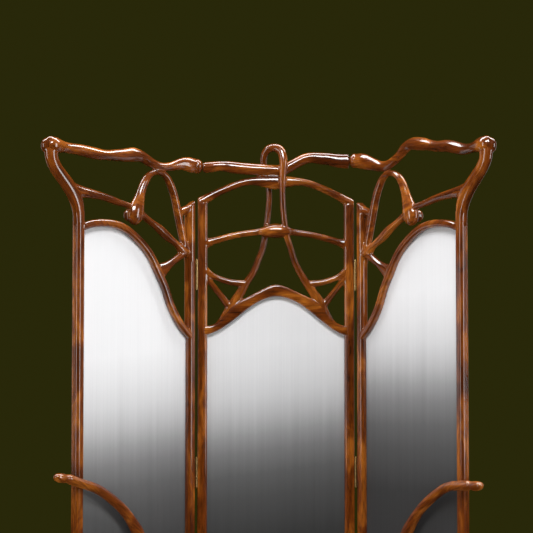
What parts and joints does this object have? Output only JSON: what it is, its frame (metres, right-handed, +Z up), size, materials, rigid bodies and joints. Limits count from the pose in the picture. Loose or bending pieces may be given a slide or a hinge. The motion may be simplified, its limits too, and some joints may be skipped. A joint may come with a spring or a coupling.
{
  "type": "folding screen",
  "caption": "Folding room screen of glossy carved hardwood with bone-like fretwork over arched streaked glass panes; hinged wings fold forward.",
  "frame": {"origin": "on the floor under the middle of the bounding box, with the wings folded as in the picture", "axes": "+Z up, +Y to the back of the centre leaf, +X to the right as seen from the front"},
  "size_m": [1.2935, 0.5103, 1.8484],
  "materials": {
    "wood": "glossy varnished orange-brown hardwood",
    "glass": "glossy, finely streaked drawn glass",
    "brass": "satin"
  },
  "bodies": {
    "centre_leaf": {"centre_bottom_rail": "wood", "centre_crest_bar": "wood", "centre_glass": "glass", "centre_glass_arch": "wood", "centre_glazing_beads": "wood", "centre_head_rail": "wood", "centre_hinge_screws": "brass", "centre_left_lower_strut": "wood", "centre_left_stile": "wood", "centre_left_tendon": "wood", "centre_left_upper_strut": "wood", "centre_loop_tendon": "wood", "centre_mid_rail": "wood", "centre_right_lower_strut": "wood", "centre_right_stile": "wood", "centre_right_upper_strut": "wood", "left_lower_hinge_centre_plate": "brass", "left_lower_hinge_pin": "brass", "left_middle_hinge_centre_plate": "brass", "left_middle_hinge_pin": "brass", "left_upper_hinge_centre_plate": "brass", "left_upper_hinge_pin": "brass", "right_lower_hinge_centre_plate": "brass", "right_lower_hinge_pin": "brass", "right_middle_hinge_centre_plate": "brass", "right_middle_hinge_pin": "brass", "right_upper_hinge_centre_plate": "brass", "right_upper_hinge_pin": "brass"},
    "left_wing": {"left_lower_hinge_wing_plate": "brass", "left_middle_hinge_wing_plate": "brass", "left_upper_hinge_wing_plate": "brass", "left_wing_arm": "wood", "left_wing_bottom_rail": "wood", "left_wing_brace": "wood", "left_wing_crest_bar": "wood", "left_wing_glass": "glass", "left_wing_glass_arch": "wood", "left_wing_glazing_beads": "wood", "left_wing_hairpin": "wood", "left_wing_hinge_screws": "brass", "left_wing_inner_branch": "wood", "left_wing_inner_stile": "wood", "left_wing_outer_branch": "wood", "left_wing_outer_stile": "wood"},
    "right_wing": {"right_lower_hinge_wing_plate": "brass", "right_middle_hinge_wing_plate": "brass", "right_upper_hinge_wing_plate": "brass", "right_wing_arm": "wood", "right_wing_bottom_rail": "wood", "right_wing_brace": "wood", "right_wing_crest_bar": "wood", "right_wing_glass": "glass", "right_wing_glass_arch": "wood", "right_wing_glazing_beads": "wood", "right_wing_hairpin": "wood", "right_wing_hinge_screws": "brass", "right_wing_inner_branch": "wood", "right_wing_inner_stile": "wood", "right_wing_outer_branch": "wood", "right_wing_outer_stile": "wood"}
  },
  "joints": [
    {"name": "left_wing_fold", "type": "hinge", "parent": "centre_leaf", "child": "left_wing", "pos_m": [-0.18703, 0.20942, 0], "axis": [0, 0, 1], "range_deg": [-39, 61]},
    {"name": "right_wing_fold", "type": "hinge", "parent": "centre_leaf", "child": "right_wing", "pos_m": [0.30297, 0.20942, 0], "axis": [0, 0, -1], "range_deg": [-56, 44]}
  ]
}
